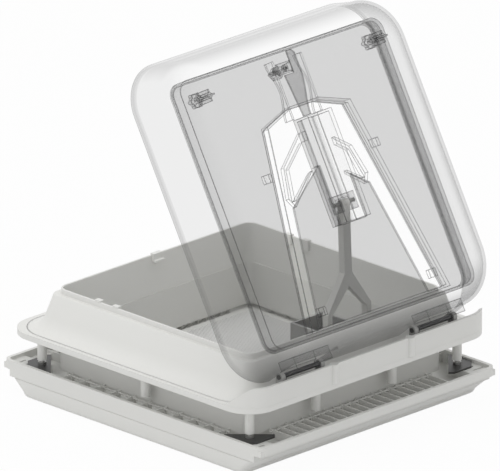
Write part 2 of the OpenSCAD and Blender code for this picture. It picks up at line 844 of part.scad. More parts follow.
trim_bezel();
ceiling_tray();
screen_frame();
fly_screen();
duct_liner();
roof_flange();
flange_bosses();
roof_collar();
hinge_wall();
clamp_plates();
clamp_screws();
hinge_bracket_left();
hinge_bracket_right();
hinge_rod_left();
hinge_rod_right();
free_side_catch();
side_hooks();
arm_housing();
arm_pivot_pin();
outer_dome();
inner_pane();
pane_seal();
opener_pocket();
opener_rail();
grip_loop_left();
grip_loop_right();
hinge_knuckle_left();
hinge_knuckle_right();
spacer_bosses();
spacer_caps();
pocket_clips();
latch_channel();
latch_strip();
latch_base();
latch_hook();
stay_arm();
head_pin();
rail_slider();
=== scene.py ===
"""Roof vent for a caravan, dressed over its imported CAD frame, dome open as in the photograph."""

import math

import bpy
import numpy as np
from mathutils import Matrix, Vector


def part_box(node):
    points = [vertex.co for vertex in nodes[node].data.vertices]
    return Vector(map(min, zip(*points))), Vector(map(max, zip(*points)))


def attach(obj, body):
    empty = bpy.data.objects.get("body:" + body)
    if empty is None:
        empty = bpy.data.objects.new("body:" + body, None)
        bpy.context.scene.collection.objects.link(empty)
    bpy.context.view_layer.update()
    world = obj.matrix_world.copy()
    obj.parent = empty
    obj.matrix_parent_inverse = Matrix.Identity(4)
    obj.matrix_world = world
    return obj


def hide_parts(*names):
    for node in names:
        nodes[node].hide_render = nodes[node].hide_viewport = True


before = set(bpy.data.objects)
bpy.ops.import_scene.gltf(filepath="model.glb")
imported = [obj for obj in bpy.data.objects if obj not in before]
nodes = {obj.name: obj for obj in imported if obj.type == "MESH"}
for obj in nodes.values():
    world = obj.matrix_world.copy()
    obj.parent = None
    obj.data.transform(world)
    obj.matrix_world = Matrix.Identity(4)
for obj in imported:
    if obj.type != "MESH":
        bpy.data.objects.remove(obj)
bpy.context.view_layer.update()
scene = bpy.context.scene
scene.view_settings.view_transform = "Standard"
# The clear dome, pane, pocket and rail lie in many layers, and a ray has to pass them all
scene.cycles.transparent_max_bounces = 48


# Camera. The photograph is a parallel view from the front left corner, 20.3 degrees above the
# horizon, with one pixel to the millimetre, so a very long lens stands far back on that line.
PICTURE_WIDTH = 0.500
LENS = 1500.0
SENSOR = 36.0
SIGHT = Vector((0.0003, -0.0003, 0.1696))
AZIMUTH, ELEVATION = math.radians(-45.0), math.radians(20.3)
toward = Vector((
    math.sin(AZIMUTH) * math.cos(ELEVATION),
    -math.cos(AZIMUTH) * math.cos(ELEVATION),
    math.sin(ELEVATION),
))
camera_data = bpy.data.cameras.new("camera")
camera_data.lens = LENS
camera_data.sensor_width = SENSOR
camera_data.sensor_fit = "HORIZONTAL"
camera_data.clip_end = 60.0
camera = bpy.data.objects.new("camera", camera_data)
camera.location = SIGHT + toward * (PICTURE_WIDTH * LENS / SENSOR)
camera.rotation_euler = (-toward).to_track_quat("-Z", "Y").to_euler()
scene.collection.objects.link(camera)
scene.camera = camera


# Studio light. One broad soft lamp overhead and one to the left of the camera give the pale
# plastic its three tones: light tops, middle left faces and darker right faces.
def soft_lamp(name, place, aim, width, watts):
    """A round area lamp at a place, turned towards the point it is aimed at."""
    data = bpy.data.lights.new(name, "AREA")
    data.shape = "DISK"
    data.size = width
    data.energy = watts
    lamp = bpy.data.objects.new(name, data)
    lamp.location = place
    lamp.rotation_euler = (Vector(aim) - Vector(place)).to_track_quat("-Z", "Y").to_euler()
    scene.collection.objects.link(lamp)


soft_lamp("lamp_over", (-0.3, 0.2, 2.4), (0, 0, 0.1), 1.8, 14.0)
soft_lamp("lamp_left", (-2.2, 0.1, 1.1), (0, 0, 0.1), 1.4, 4.5)


# Backdrop. White for whatever looks straight at it or through the clear dome, and a lower
# even grey as light, so that the white behind the object doesn't wash it out.
AMBIENT = 0.70
world = bpy.data.worlds.new("backdrop")
scene.world = world
world.use_nodes = True
sky = world.node_tree
sky.nodes.clear()


def seen_or_reflected(tree):
    """A mask that is 1 for camera, glossy and transmission rays: the largest of the three flags."""
    path = tree.nodes.new("ShaderNodeLightPath")
    first = tree.nodes.new("ShaderNodeMath")
    first.operation = "MAXIMUM"
    tree.links.new(path.outputs["Is Camera Ray"], first.inputs[0])
    tree.links.new(path.outputs["Is Glossy Ray"], first.inputs[1])
    second = tree.nodes.new("ShaderNodeMath")
    second.operation = "MAXIMUM"
    tree.links.new(first.outputs[0], second.inputs[0])
    tree.links.new(path.outputs["Is Transmission Ray"], second.inputs[1])
    return second.outputs[0]


sky_light = sky.nodes.new("ShaderNodeBackground")
sky_light.inputs["Strength"].default_value = AMBIENT
sky_white = sky.nodes.new("ShaderNodeBackground")
sky_white.inputs["Strength"].default_value = 1.0
for lit in (sky_light, sky_white):
    lit.inputs["Color"].default_value = (1.0, 1.0, 1.0, 1.0)
sky_mix = sky.nodes.new("ShaderNodeMixShader")
sky.links.new(seen_or_reflected(sky), sky_mix.inputs["Fac"])
sky.links.new(sky_light.outputs[0], sky_mix.inputs[1])
sky.links.new(sky_white.outputs[0], sky_mix.inputs[2])
sky_out = sky.nodes.new("ShaderNodeOutputWorld")
sky.links.new(sky_mix.outputs[0], sky_out.inputs["Surface"])


# Floor. A broad sheet of white paper just under the bezel. It looks as white as the backdrop
# and keeps only a faint trace of the object's shadow.
def mesh_piece(name, points, faces, smooth=True):
    """A mesh object from an array of points and a list of faces, with its place in its mesh."""
    mesh = bpy.data.meshes.new(name)
    mesh.from_pydata(points.reshape(-1, 3).tolist(), [], faces)
    mesh.polygons.foreach_set("use_smooth", np.full(len(mesh.polygons), smooth))
    mesh.update()
    piece = bpy.data.objects.new(name, mesh)
    scene.collection.objects.link(piece)
    return piece


FLOOR_HALF, FLOOR_DROP = 6.0, 0.0005
FLOOR_SHADE = 0.04
floor = mesh_piece(
    "floor",
    FLOOR_HALF * np.array([[-1, -1, 0], [1, -1, 0], [1, 1, 0], [-1, 1, 0]]) - [0, 0, FLOOR_DROP],
    [[0, 1, 2, 3]],
    smooth=False,
)
floor_paint = bpy.data.materials.new("floor_paper")
floor_paint.use_nodes = True
tree = floor_paint.node_tree
tree.nodes.clear()
paper = tree.nodes.new("ShaderNodeBsdfDiffuse")
paper.inputs["Color"].default_value = (0.8, 0.8, 0.8, 1.0)
glow = tree.nodes.new("ShaderNodeEmission")
glow.inputs["Strength"].default_value = 1.0
keep = tree.nodes.new("ShaderNodeMath")
keep.operation = "MULTIPLY"
keep.inputs[1].default_value = 1.0 - FLOOR_SHADE
tree.links.new(seen_or_reflected(tree), keep.inputs[0])
paper_mix = tree.nodes.new("ShaderNodeMixShader")
tree.links.new(keep.outputs[0], paper_mix.inputs["Fac"])
tree.links.new(paper.outputs[0], paper_mix.inputs[1])
tree.links.new(glow.outputs[0], paper_mix.inputs[2])
paper_out = tree.nodes.new("ShaderNodeOutputMaterial")
tree.links.new(paper_mix.outputs[0], paper_out.inputs["Surface"])
floor.data.materials.append(floor_paint)


# Trim bezel. The frame that shows on the ceiling inside: one injection moulding in warm white
# plastic with a fine spark-eroded grain. Two of its sides lean in towards the room.
def new_group(name, inputs, outputs):
    """An empty shader node group with named float inputs (name, value) and outputs (name, type)."""
    group = bpy.data.node_groups.new(name, "ShaderNodeTree")
    for label, value in inputs:
        socket = group.interface.new_socket(label, in_out="INPUT", socket_type="NodeSocketFloat")
        socket.default_value = value
    for label, kind in outputs:
        group.interface.new_socket(label, in_out="OUTPUT", socket_type=kind)
    return group, group.nodes.new("NodeGroupInput"), group.nodes.new("NodeGroupOutput")


# Fine mould grain: noise at two scales, as a bump height, and a slow drift for the gloss
grain_group, g_in, g_out = new_group(
    "mould_grain",
    [("Scale", 900.0), ("Roughness Low", 0.42), ("Roughness High", 0.55)],
    [("Height", "NodeSocketFloat"), ("Roughness", "NodeSocketFloat")],
)
g_coord = grain_group.nodes.new("ShaderNodeTexCoord")
g_fine = grain_group.nodes.new("ShaderNodeTexNoise")
g_fine.inputs["Detail"].default_value = 3.0
grain_group.links.new(g_coord.outputs["Object"], g_fine.inputs["Vector"])
grain_group.links.new(g_in.outputs["Scale"], g_fine.inputs["Scale"])
g_slow = grain_group.nodes.new("ShaderNodeTexNoise")
g_slow.inputs["Scale"].default_value = 22.0
grain_group.links.new(g_coord.outputs["Object"], g_slow.inputs["Vector"])
g_range = grain_group.nodes.new("ShaderNodeMapRange")
grain_group.links.new(g_slow.outputs["Fac"], g_range.inputs["Value"])
grain_group.links.new(g_in.outputs["Roughness Low"], g_range.inputs["To Min"])
grain_group.links.new(g_in.outputs["Roughness High"], g_range.inputs["To Max"])
grain_group.links.new(g_fine.outputs["Fac"], g_out.inputs["Height"])
grain_group.links.new(g_range.outputs["Result"], g_out.inputs["Roughness"])

# Colour of a moulding: a slow warm drift, and painted shade where two walls meet, found by ambient
# occlusion
tone_and_shade_group, t_in, t_out = new_group(
    "moulded_tone_and_painted_shade",
    [("Drift", 0.03), ("Painted Shade", 0.25), ("Reach", 0.012)],
    [("Shade", "NodeSocketFloat")],
)
t_coord = tone_and_shade_group.nodes.new("ShaderNodeTexCoord")
t_noise = tone_and_shade_group.nodes.new("ShaderNodeTexNoise")
t_noise.inputs["Scale"].default_value = 14.0
tone_and_shade_group.links.new(t_coord.outputs["Object"], t_noise.inputs["Vector"])
t_swing = tone_and_shade_group.nodes.new("ShaderNodeMath")
t_swing.operation = "MULTIPLY"
tone_and_shade_group.links.new(t_noise.outputs["Fac"], t_swing.inputs[0])
tone_and_shade_group.links.new(t_in.outputs["Drift"], t_swing.inputs[1])
t_near = tone_and_shade_group.nodes.new("ShaderNodeAmbientOcclusion")
t_near.samples = 8
t_near.only_local = True
tone_and_shade_group.links.new(t_in.outputs["Reach"], t_near.inputs["Distance"])
t_open = tone_and_shade_group.nodes.new("ShaderNodeMath")
t_open.operation = "SUBTRACT"
t_open.inputs[0].default_value = 1.0
tone_and_shade_group.links.new(t_near.outputs["AO"], t_open.inputs[1])
t_painted_shade = tone_and_shade_group.nodes.new("ShaderNodeMath")
t_painted_shade.operation = "MULTIPLY"
tone_and_shade_group.links.new(t_open.outputs[0], t_painted_shade.inputs[0])
tone_and_shade_group.links.new(t_in.outputs["Painted Shade"], t_painted_shade.inputs[1])
t_sum = tone_and_shade_group.nodes.new("ShaderNodeMath")
t_sum.operation = "ADD"
t_sum.use_clamp = True
tone_and_shade_group.links.new(t_swing.outputs[0], t_sum.inputs[0])
tone_and_shade_group.links.new(t_painted_shade.outputs[0], t_sum.inputs[1])
tone_and_shade_group.links.new(t_sum.outputs[0], t_out.inputs["Shade"])


def moulded_plastic(name, pale, shaded_colour, gloss=(0.42, 0.55), edge=0.0006, grain=0.04, painted_shade=0.25):
    """Moulded plastic: a pale colour that goes to a darker one in the corners as painted shade, with a
    fine grain and edges eased by a bevel normal."""
    paint = bpy.data.materials.new(name)
    paint.use_nodes = True
    tree = paint.node_tree
    shader = tree.nodes["Principled BSDF"]
    tone = tree.nodes.new("ShaderNodeGroup")
    tone.node_tree = tone_and_shade_group
    tone.inputs["Painted Shade"].default_value = painted_shade
    # The second colour is painted shade, mixed in where ambient occlusion finds walls close by
    colour = tree.nodes.new("ShaderNodeMix")
    colour.data_type = "RGBA"
    colour.inputs["A"].default_value = (*pale, 1.0)
    colour.inputs["B"].default_value = (*shaded_colour, 1.0)
    tree.links.new(tone.outputs["Shade"], colour.inputs["Factor"])
    tree.links.new(colour.outputs["Result"], shader.inputs["Base Color"])
    skin = tree.nodes.new("ShaderNodeGroup")
    skin.node_tree = grain_group
    skin.inputs["Roughness Low"].default_value = gloss[0]
    skin.inputs["Roughness High"].default_value = gloss[1]
    tree.links.new(skin.outputs["Roughness"], shader.inputs["Roughness"])
    eased = tree.nodes.new("ShaderNodeBevel")
    eased.samples = 6
    eased.inputs["Radius"].default_value = edge
    bump = tree.nodes.new("ShaderNodeBump")
    bump.inputs["Strength"].default_value = grain
    bump.inputs["Distance"].default_value = 0.0002
    tree.links.new(skin.outputs["Height"], bump.inputs["Height"])
    tree.links.new(eased.outputs["Normal"], bump.inputs["Normal"])
    tree.links.new(bump.outputs["Normal"], shader.inputs["Normal"])
    return paint


def dress(paint, *names):
    """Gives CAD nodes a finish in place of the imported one."""
    for name in names:
        nodes[name].data.materials.clear()
        nodes[name].data.materials.append(paint)


warm_white = moulded_plastic("warm_white_plastic", (0.80, 0.80, 0.775), (0.50, 0.49, 0.465))


def rounded_rows(half_x, half_y, radius, height, shift=0.0, arc=9, back=()):
    """Grid of rounded rectangles, one to a row. A point is at x = ux (half_x - radius) + cx radius and
    y = uy (half_y - radius) + cy radius + shift, at the row's height, where u holds the two signs of
    its corner and c the direction round the corner's arc. back adds points along the -Y side."""
    turn = np.radians(np.linspace(0.0, 90.0, arc))
    start = np.radians([-90.0, 0.0, 90.0, 180.0])
    angle = (start[:, None] + turn[None, :]).ravel()
    sign = np.repeat([[1, -1], [1, 1], [-1, 1], [-1, -1]], arc, axis=0)
    along = np.concatenate([sign, np.column_stack([back, -np.ones(len(back))])])
    around = np.concatenate([
        np.column_stack([np.cos(angle), np.sin(angle)]),
        np.tile([0.0, -1.0], (len(back), 1)),
    ])
    half_x, half_y, radius, height, shift = np.broadcast_arrays(half_x, half_y, radius, height, shift)
    x = (half_x - radius)[:, None] * along[:, 0] + radius[:, None] * around[:, 0]
    y = (half_y - radius)[:, None] * along[:, 1] + radius[:, None] * around[:, 1] + shift[:, None]
    return np.stack([x, y, np.repeat(height[:, None], x.shape[1], axis=1)], axis=-1)


def grid_faces(rows, columns, loop=False):
    """Quads of a grid of points whose rows are closed rings. With loop, the last row meets the first."""
    last = rows if loop else rows - 1
    i, j = np.meshgrid(np.arange(last), np.arange(columns), indexing="ij")
    up, on = (i + 1) % rows, (j + 1) % columns
    corners = [i * columns + j, i * columns + on, up * columns + on, up * columns + j]
    return np.stack(corners, axis=-1).reshape(-1, 4)


def moulded_ring(name, profile, paint, crease):
    """A closed ring. Its section is a list of rows (half_x, half_y, radius, height and, where given, a
    shift along Y), outside first and upwards. Edges that turn by more than crease degrees are sharp."""
    grid = rounded_rows(*np.array(profile).T)
    piece = mesh_piece(name, grid, grid_faces(*grid.shape[:2], loop=True).tolist())
    piece.data.set_sharp_from_angle(angle=math.radians(crease))
    piece.data.materials.append(paint)
    return piece


BEZEL_X, BEZEL_Y, BEZEL_FOOT, BEZEL_CORNER = 0.167, 0.173, 0.158, 0.009
BEZEL_H, BEZEL_ROUND, BEZEL_RIM, BEZEL_FLOOR = 0.018, 0.005, 0.008, 0.004
THROAT, THROAT_WALL, THROAT_CORNER = 0.128, 0.003, 0.010
# The eased top edge, as distances in along X, in along Y and down
BEZEL_EASE = [(0.0, 0.0020, 0.0018), (0.0003, 0.0012, 0.0009), (0.0014, 0.0014, 0.0)]
# The lower edge is a quarter round
sweep = np.radians(np.linspace(0.0, 90.0, 13))
lip = BEZEL_ROUND * (1.0 - np.sin(sweep))
bezel_round = np.column_stack([
    BEZEL_X - lip,
    BEZEL_FOOT - lip,
    np.full_like(lip, BEZEL_CORNER),
    BEZEL_ROUND * (1.0 - np.cos(sweep)),
])
bezel_edge = [
    [BEZEL_X - in_x, BEZEL_Y - in_y, BEZEL_CORNER, BEZEL_H - down] for in_x, in_y, down in BEZEL_EASE
]
throat_out, throat_turn = THROAT + THROAT_WALL, THROAT_CORNER + THROAT_WALL
bezel_hollow = [
    [BEZEL_X - BEZEL_RIM, BEZEL_FOOT - BEZEL_RIM, BEZEL_CORNER, BEZEL_H],
    [BEZEL_X - BEZEL_RIM, BEZEL_FOOT - BEZEL_RIM, BEZEL_CORNER, BEZEL_FLOOR],
    [throat_out, throat_out, throat_turn, BEZEL_FLOOR],
    [throat_out, throat_out, throat_turn, BEZEL_H],
    [THROAT, THROAT, THROAT_CORNER, BEZEL_H],
    [THROAT, THROAT, THROAT_CORNER, 0.0],
]
bezel = moulded_ring("bezel", bezel_round.tolist() + bezel_edge + bezel_hollow, warm_white, 30.0)
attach(bezel, "base")
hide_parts("trim_bezel")


# Ceiling tray. The ribbed moulding above the bezel that presses against the ceiling, moulded
# in the same plastic, with flat platforms at its corners for the clamps.
dress(warm_white, "ceiling_tray")
box_corner = np.array([
    [-1, -1, -1], [1, -1, -1], [1, 1, -1], [-1, 1, -1], [-1, -1, 1], [1, -1, 1], [1, 1, 1], [-1, 1, 1],
])
box_faces = np.array([
    [0, 3, 2, 1], [4, 5, 6, 7], [0, 1, 5, 4], [1, 2, 6, 5], [2, 3, 7, 6], [3, 0, 4, 7],
])


def boxes(middles, halves):
    """Boxes as one array of points: eight corner signs times each half size, moved to each middle."""
    return np.asarray(middles, float)[:, None] + box_corner[None] * np.asarray(halves, float)[:, None]


def box_piece(name, points, paint):
    """A mesh piece from an array of boxes."""
    first = len(box_corner) * np.arange(len(points))
    faces = (box_faces[None] + first[:, None, None]).reshape(-1, 4)
    piece = mesh_piece(name, points, faces.tolist(), smooth=False)
    piece.data.materials.append(paint)
    return piece


# A low fence closes the cells towards the duct: a foot rail, a thin cap and posts with a slot between
FENCE_AT, FENCE_HALF, FENCE_T, FENCE_LOW, FENCE_TOP = 0.1432, 0.115, 0.0012, 0.0211, 0.0296
FOOT_HALF, CAP_HALF = 0.0012, 0.0008
POST_IN, POST_HALF, POST_T, POST_SHORT = 0.005, 0.0019, 0.45 * FENCE_T, 0.0004
FINE_PITCH, BROAD_PITCH = 0.011, 0.022
fence_rails = boxes(
    [[0, -FENCE_AT, FENCE_LOW + FOOT_HALF], [0, -FENCE_AT, FENCE_TOP - CAP_HALF]],
    [[FENCE_HALF, FENCE_T / 2, FOOT_HALF], [FENCE_HALF, FENCE_T / 2, CAP_HALF]],
)
fence_middle, post_rise = (FENCE_LOW + FENCE_TOP) / 2, (FENCE_TOP - FENCE_LOW) / 2 - POST_SHORT
fence_sides = []
for quarter, pitch in enumerate((FINE_PITCH, BROAD_PITCH, FINE_PITCH, BROAD_PITCH)):
    post = np.arange(-FENCE_HALF + POST_IN, FENCE_HALF, pitch)
    posts = boxes(
        np.column_stack([post, np.full_like(post, -FENCE_AT), np.full_like(post, fence_middle)]),
        np.tile([POST_HALF, POST_T, post_rise], (len(post), 1)),
    )
    x, y, z = np.moveaxis(np.concatenate([fence_rails, posts]), -1, 0)
    c, s = math.cos(quarter * math.pi / 2), math.sin(quarter * math.pi / 2)
    fence_sides.append(np.stack([c * x - s * y, s * x + c * y, z], axis=-1))
fence = box_piece("tray_fence", np.concatenate(fence_sides), warm_white)
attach(fence, "base")


# Fly screen. A clip-in frame that holds a fine white net across the throat: straight square
# strands of coated glass yarn, one layer each way, welded where they cross.
dress(warm_white, "screen_frame")
NET_HALF, NET_PITCH, STRAND = 0.1229, 0.0026, 0.0012
net_low, net_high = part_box("fly_screen")
middle = (net_low.z + net_high.z) / 2
place = np.arange(-NET_HALF + NET_PITCH / 2, NET_HALF, NET_PITCH)
none, half = np.zeros_like(place), np.full_like(place, STRAND / 2)
along_x = np.tile([NET_HALF, STRAND / 2, STRAND / 2], (len(place), 1))
along_y = np.tile([STRAND / 2, NET_HALF, STRAND / 2], (len(place), 1))
yarn = np.concatenate([
    boxes(np.column_stack([none, place, middle - half]), along_x),
    boxes(np.column_stack([place, none, middle + half]), along_y),
])
net_white = moulded_plastic(
    "net_white", (0.88, 0.88, 0.87), (0.72, 0.72, 0.71), gloss=(0.6, 0.7), edge=0.0001, painted_shade=0.1,
)
net = box_piece("net", yarn, net_white)
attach(net, "base")
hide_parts("fly_screen")


# Duct. The square liner in grey plastic that closes the cut edge of the roof, pushed up into
# the flange from below.
duct_grey = moulded_plastic("duct_grey_plastic", (0.74, 0.74, 0.715), (0.44, 0.44, 0.425))
dress(duct_grey, "duct_liner")


# Roof frame. The large outside moulding: a flange bedded on the roof, a sloped collar with a
# ledge and a thin rim round the well, bosses below and a low wall behind the hinges.
dress(warm_white, "roof_flange", "flange_bosses", "hinge_wall")
LEDGE, WELL, RIM, DECK, LEDGE_Z, RIM_Z = 0.1415, 0.1347, 0.1369, 0.0725, 0.1085, 0.1145
RUN, RISE, SWEEP, FOOT, FOOT_BACK = 0.0135, 0.036, 0.42, 0.169, 0.158
COLLAR_CORNER, LEDGE_LIP, LEDGE_DROP, LEDGE_EASE, RIM_EASE = 0.010, 0.0004, 0.0010, 0.0006, 0.0005
# The foot sweeps up from the flange along a curve through three points: (1-t)^2 a + 2t (1-t) b + t^2 c
bend = np.linspace(0.0, 1.0, 13)[:, None]
foot_line = (
    (1 - bend) ** 2 * [FOOT, DECK]
    + 2 * bend * (1 - bend) * [LEDGE + RUN, DECK]
    + bend**2 * [LEDGE + RUN * (1 - SWEEP), DECK + RISE * SWEEP]
)
reach, climb = foot_line.T
behind = np.minimum(reach, FOOT_BACK)
foot_rows = np.column_stack([
    reach,
    (reach + behind) / 2,
    COLLAR_CORNER + reach - LEDGE,
    climb,
    (reach - behind) / 2,
])
# Above it, each row gives its half size, the half size whose corner is COLLAR_CORNER, and its height
half_size, origin, height = np.array([
    [LEDGE + LEDGE_LIP, LEDGE, LEDGE_Z - LEDGE_DROP],
    [LEDGE, LEDGE, LEDGE_Z - LEDGE_LIP],
    [LEDGE - LEDGE_EASE, LEDGE, LEDGE_Z],
    [RIM + LEDGE_EASE, WELL, LEDGE_Z],
    [RIM, WELL, LEDGE_Z + LEDGE_EASE],
    [RIM, WELL, RIM_Z - RIM_EASE],
    [RIM - RIM_EASE, WELL, RIM_Z],
    [WELL + RIM_EASE, WELL, RIM_Z],
    [WELL, WELL, RIM_Z - RIM_EASE],
    [WELL, WELL, DECK],
]).T
rim_rows = np.column_stack([
    half_size,
    half_size,
    COLLAR_CORNER + half_size - origin,
    height,
    np.zeros_like(half_size),
])
collar = moulded_ring("collar", np.concatenate([foot_rows, rim_rows]), warm_white, 40.0)
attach(collar, "base")
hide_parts("roof_collar")


# Clamps. Four corner plates pressed from steel sheet and plated dark. A bright screw through
# each one pulls the ceiling frame up against the bosses of the roof frame.
def worn_steel(name, colour, rough):
    """Plated steel: brushed streaks in the roughness and slightly lighter scuffs."""
    paint = bpy.data.materials.new(name)
    paint.use_nodes = True
    tree = paint.node_tree
    shader = tree.nodes["Principled BSDF"]
    shader.inputs["Metallic"].default_value = 1.0
    coord = tree.nodes.new("ShaderNodeTexCoord")
    streak = tree.nodes.new("ShaderNodeMapping")
    streak.inputs["Scale"].default_value = (40.0, 900.0, 300.0)
    tree.links.new(coord.outputs["Object"], streak.inputs["Vector"])
    noise = tree.nodes.new("ShaderNodeTexNoise")
    noise.inputs["Scale"].default_value = 1.0
    noise.inputs["Detail"].default_value = 4.0
    tree.links.new(streak.outputs["Vector"], noise.inputs["Vector"])
    rough_range = tree.nodes.new("ShaderNodeMapRange")
    rough_range.inputs["To Min"].default_value = rough - 0.08
    rough_range.inputs["To Max"].default_value = rough + 0.12
    tree.links.new(noise.outputs["Fac"], rough_range.inputs["Value"])
    tree.links.new(rough_range.outputs["Result"], shader.inputs["Roughness"])
    tint = tree.nodes.new("ShaderNodeMix")
    tint.data_type = "RGBA"
    tint.inputs["A"].default_value = (*colour, 1.0)
    tint.inputs["B"].default_value = (*[min(1.0, 1.6 * c) for c in colour], 1.0)
    tree.links.new(noise.outputs["Fac"], tint.inputs["Factor"])
    tree.links.new(tint.outputs["Result"], shader.inputs["Base Color"])
    eased = tree.nodes.new("ShaderNodeBevel")
    eased.samples = 6
    eased.inputs["Radius"].default_value = 0.0004
    tree.links.new(eased.outputs["Normal"], shader.inputs["Normal"])
    return paint


dark_steel = worn_steel("dark_steel", (0.085, 0.085, 0.085), 0.42)
bright_steel = worn_steel("bright_steel", (0.34, 0.34, 0.33), 0.32)
dress(dark_steel, "clamp_plates")
dress(bright_steel, "clamp_screws")


# Hinge. Two short steel rods on one line behind the collar. Each is held at its ends in the
# ears of a grey plastic bracket that stands on the roof frame.
hinge_grey = moulded_plastic("hinge_grey_plastic", (0.34, 0.34, 0.33), (0.18, 0.18, 0.175))
dress(hinge_grey, "hinge_bracket_left", "hinge_bracket_right")
dress(dark_steel, "hinge_rod_left", "hinge_rod_right")


# Catch, hooks and arm housing. The catch and the hooks are small white mouldings clipped over the
# rim. The housing is an open grey box on the hinge side of the well, and a steel pin crosses its ears.
dress(warm_white, "free_side_catch", "side_hooks")
dress(hinge_grey, "arm_housing")
dress(bright_steel, "arm_pivot_pin")


# Outer dome. A shell blown from lightly smoked acrylic sheet, with a polished skin. Its skirt is
# trimmed straight, with two notches on the hinge side where it passes the brackets.
def clear_acrylic(name, colour, body, rim, rough=0.06, edge=0.92, density_mask=None):
    """Sheet plastic: see-through face on, denser at grazing angles and dark along its cut edges, with a
    clean gloss. Where a density mask is named on the mesh, the face-on density goes from body[0] to
    body[1]."""
    paint = bpy.data.materials.new(name)
    paint.use_nodes = True
    tree = paint.node_tree
    shader = tree.nodes["Principled BSDF"]
    shader.inputs["Base Color"].default_value = (*colour, 1.0)
    shader.inputs["IOR"].default_value = 1.49
    coord = tree.nodes.new("ShaderNodeTexCoord")
    wave = tree.nodes.new("ShaderNodeTexNoise")
    wave.inputs["Scale"].default_value = 9.0
    tree.links.new(coord.outputs["Object"], wave.inputs["Vector"])
    polish = tree.nodes.new("ShaderNodeMapRange")
    polish.inputs["To Min"].default_value = rough
    polish.inputs["To Max"].default_value = rough + 0.05
    tree.links.new(wave.outputs["Fac"], polish.inputs["Value"])
    tree.links.new(polish.outputs["Result"], shader.inputs["Roughness"])
    facing = tree.nodes.new("ShaderNodeLayerWeight")
    facing.inputs["Blend"].default_value = 0.35
    density = tree.nodes.new("ShaderNodeMapRange")
    density.name = "density"
    density.inputs["From Min"].default_value = 0.30
    density.inputs["To Max"].default_value = rim
    if density_mask:
        mask = tree.nodes.new("ShaderNodeAttribute")
        mask.attribute_name = density_mask
        depth = tree.nodes.new("ShaderNodeMapRange")
        depth.inputs["To Min"].default_value = body[0]
        depth.inputs["To Max"].default_value = body[1]
        tree.links.new(mask.outputs["Fac"], depth.inputs["Value"])
        tree.links.new(depth.outputs["Result"], density.inputs["To Min"])
    else:
        density.inputs["To Min"].default_value = body
    tree.links.new(facing.outputs["Facing"], density.inputs["Value"])
    # A cut edge bends light away: where the eased normal leaves the plain one, the sheet looks dark
    plain = tree.nodes.new("ShaderNodeNewGeometry")
    eased = tree.nodes.new("ShaderNodeBevel")
    eased.samples = 4
    eased.inputs["Radius"].default_value = 0.0015
    turn = tree.nodes.new("ShaderNodeVectorMath")
    turn.operation = "DOT_PRODUCT"
    tree.links.new(plain.outputs["True Normal"], turn.inputs[0])
    tree.links.new(eased.outputs["Normal"], turn.inputs[1])
    cut = tree.nodes.new("ShaderNodeMapRange")
    cut.inputs["From Min"].default_value = 0.995
    cut.inputs["From Max"].default_value = 0.92
    cut.inputs["To Max"].default_value = edge
    tree.links.new(turn.outputs["Value"], cut.inputs["Value"])
    whole = tree.nodes.new("ShaderNodeMath")
    whole.operation = "MAXIMUM"
    tree.links.new(density.outputs["Result"], whole.inputs[0])
    tree.links.new(cut.outputs["Result"], whole.inputs[1])
    tree.links.new(whole.outputs[0], shader.inputs["Alpha"])
    return paint


# The dome's face-on density follows its sides mask, which is painted reflection on the walls
dome_clear = clear_acrylic(
    "dome_smoke_and_painted_reflection", (0.10, 0.10, 0.10), (0.006, 0.21), 0.42, edge=0.22, density_mask="sides",
)
HINGE_Y, HINGE_Z, OPEN = -0.1654, 0.0952, math.radians(60.5)
DOME_X, DOME_Y, DOME_TOP, SKIRT, DOME_WALL = 0.170, 0.168, 0.058, 0.0158, 0.003
DRAFT, SHOULDER, SHOULDER_H, DOME_CORNER, NOTCH_TOP = 0.006, 0.046, 0.040, 0.045, 0.024
DOME_ARC, SKIRT_ROWS, SHOULDER_ROWS, SHOULDER_FROM = 17, 5, 20, 14.0


def on_dome(points):
    """Points of the dome's own frame, hinge line at the origin, turned up by the opening angle."""
    x, y, z = np.moveaxis(np.asarray(points, float), -1, 0)
    c, s = math.cos(OPEN), math.sin(OPEN)
    return np.stack([x, HINGE_Y + y * c - z * s, HINGE_Z + y * s + z * c], axis=-1)


# A blown form: a straight drafted skirt up to the spring line, then a quarter wave in which the sheet
# draws in by SHOULDER (1 - cos a) and rises by SHOULDER_H sin a. One row lies on the top of the notches.
spring = DOME_TOP - SHOULDER_H
notch_a = math.asin((NOTCH_TOP - spring) / SHOULDER_H)
wave = np.concatenate([[0.0, notch_a], np.radians(np.linspace(SHOULDER_FROM, 90.0, SHOULDER_ROWS))])
draw = np.concatenate([np.linspace(0.0, DRAFT, SKIRT_ROWS)[:-1], DRAFT + SHOULDER * (1 - np.cos(wave))])
rise = np.concatenate([
    np.linspace(-SKIRT, spring, SKIRT_ROWS)[:-1],
    spring + SHOULDER_H * np.sin(wave),
])
# Points along the hinge side, as shares of its straight length. Each notch spans the outer three.
hinge_points = np.array([-0.99, -0.75, -0.48, -0.16, 0.16, 0.48, 0.75, 0.99])
notch_columns = 4 * DOME_ARC + np.array([0, 1, 5, 6])
shell = rounded_rows(
    DOME_X - draw, DOME_Y - draw, DOME_CORNER - draw / 3, rise, arc=DOME_ARC, back=hinge_points,
)
shell_faces = grid_faces(*shell.shape[:2])
count = shell.shape[1]
row, column = shell_faces[:, 0] // count, shell_faces[:, 0] % count
in_notch = (row < SKIRT_ROWS) & np.isin(column, notch_columns)
roof_edge = (len(shell) - 1) * count + np.arange(count)
outer = mesh_piece(
    "dome_shell",
    on_dome(shell + [0, DOME_Y, 0]),
    shell_faces[~in_notch].tolist() + [roof_edge.tolist()],
)
